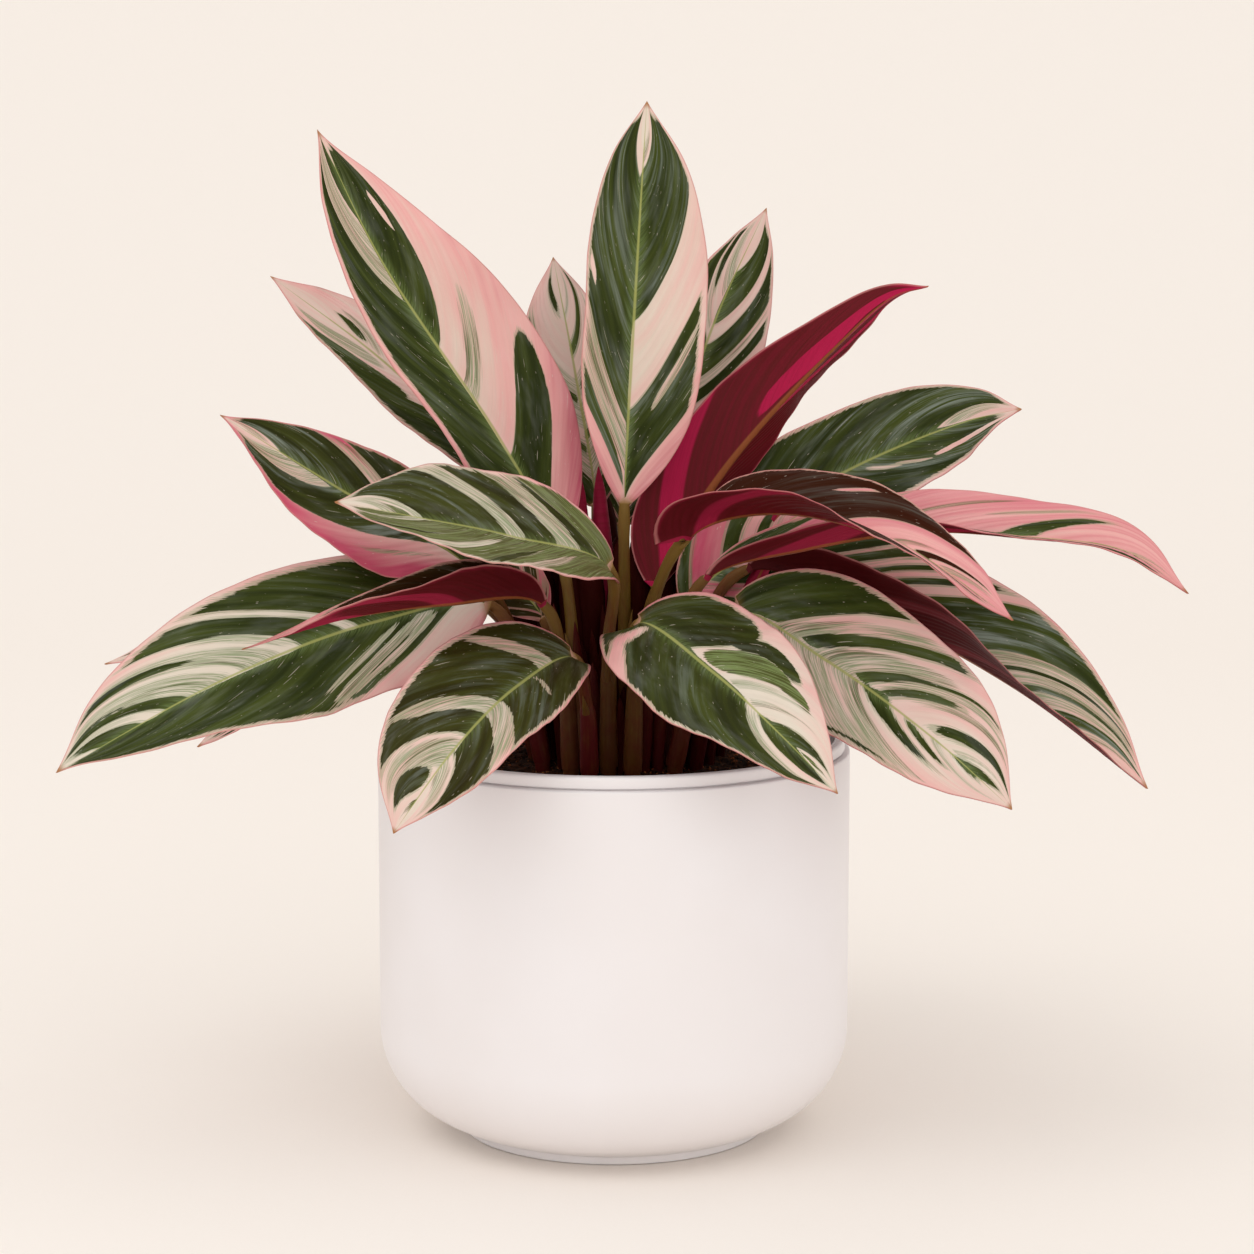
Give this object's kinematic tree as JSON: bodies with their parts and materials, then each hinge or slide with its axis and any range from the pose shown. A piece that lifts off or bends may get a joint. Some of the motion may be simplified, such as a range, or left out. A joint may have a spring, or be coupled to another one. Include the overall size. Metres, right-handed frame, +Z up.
{
  "type": "potted stromanthe triostar plant",
  "caption": "Variegated prayer plant with long striped green, cream and pink leaves on slender stalks, growing in a round white ceramic pot filled with potting mix.",
  "frame": {"origin": "centre of the pot's foot, on the surface that it stands on", "axes": "+Z up; -Y towards the plant's front, the side with the two low front leaves; +X to the right seen from the front"},
  "size_m": [0.414, 0.292, 0.391],
  "materials": {
    "ceramic": "smooth satin white glaze",
    "potting_mix": "crumbly dark brown potting mix",
    "leaf": "thin satin leaf, striped green, cream and pink above and maroon below"
  },
  "bodies": {
    "root": {"pot": "ceramic", "potting_mix": "potting_mix", "leaf_crown": "leaf", "leaf_left_tall": "leaf", "leaf_left_back": "leaf", "leaf_left_middle": "leaf", "leaf_left_front": "leaf", "leaf_left_low": "leaf", "leaf_left_behind": "leaf", "leaf_left_hidden": "leaf", "leaf_left_folded": "leaf", "leaf_front_left": "leaf", "leaf_front_right": "leaf", "leaf_right_front": "leaf", "leaf_right_droop": "leaf", "leaf_right_long": "leaf", "leaf_right_upper": "leaf", "leaf_right_magenta": "leaf", "leaf_right_arched": "leaf", "leaf_back_left_small": "leaf", "leaf_back_right_tall": "leaf", "leaf_back_left_low": "leaf", "leaf_back_left_arched": "leaf", "leaf_back_upright": "leaf", "leaf_back_middle_low": "leaf", "leaf_back_right_arched": "leaf", "leaf_back_right_low": "leaf"}
  },
  "joints": []
}
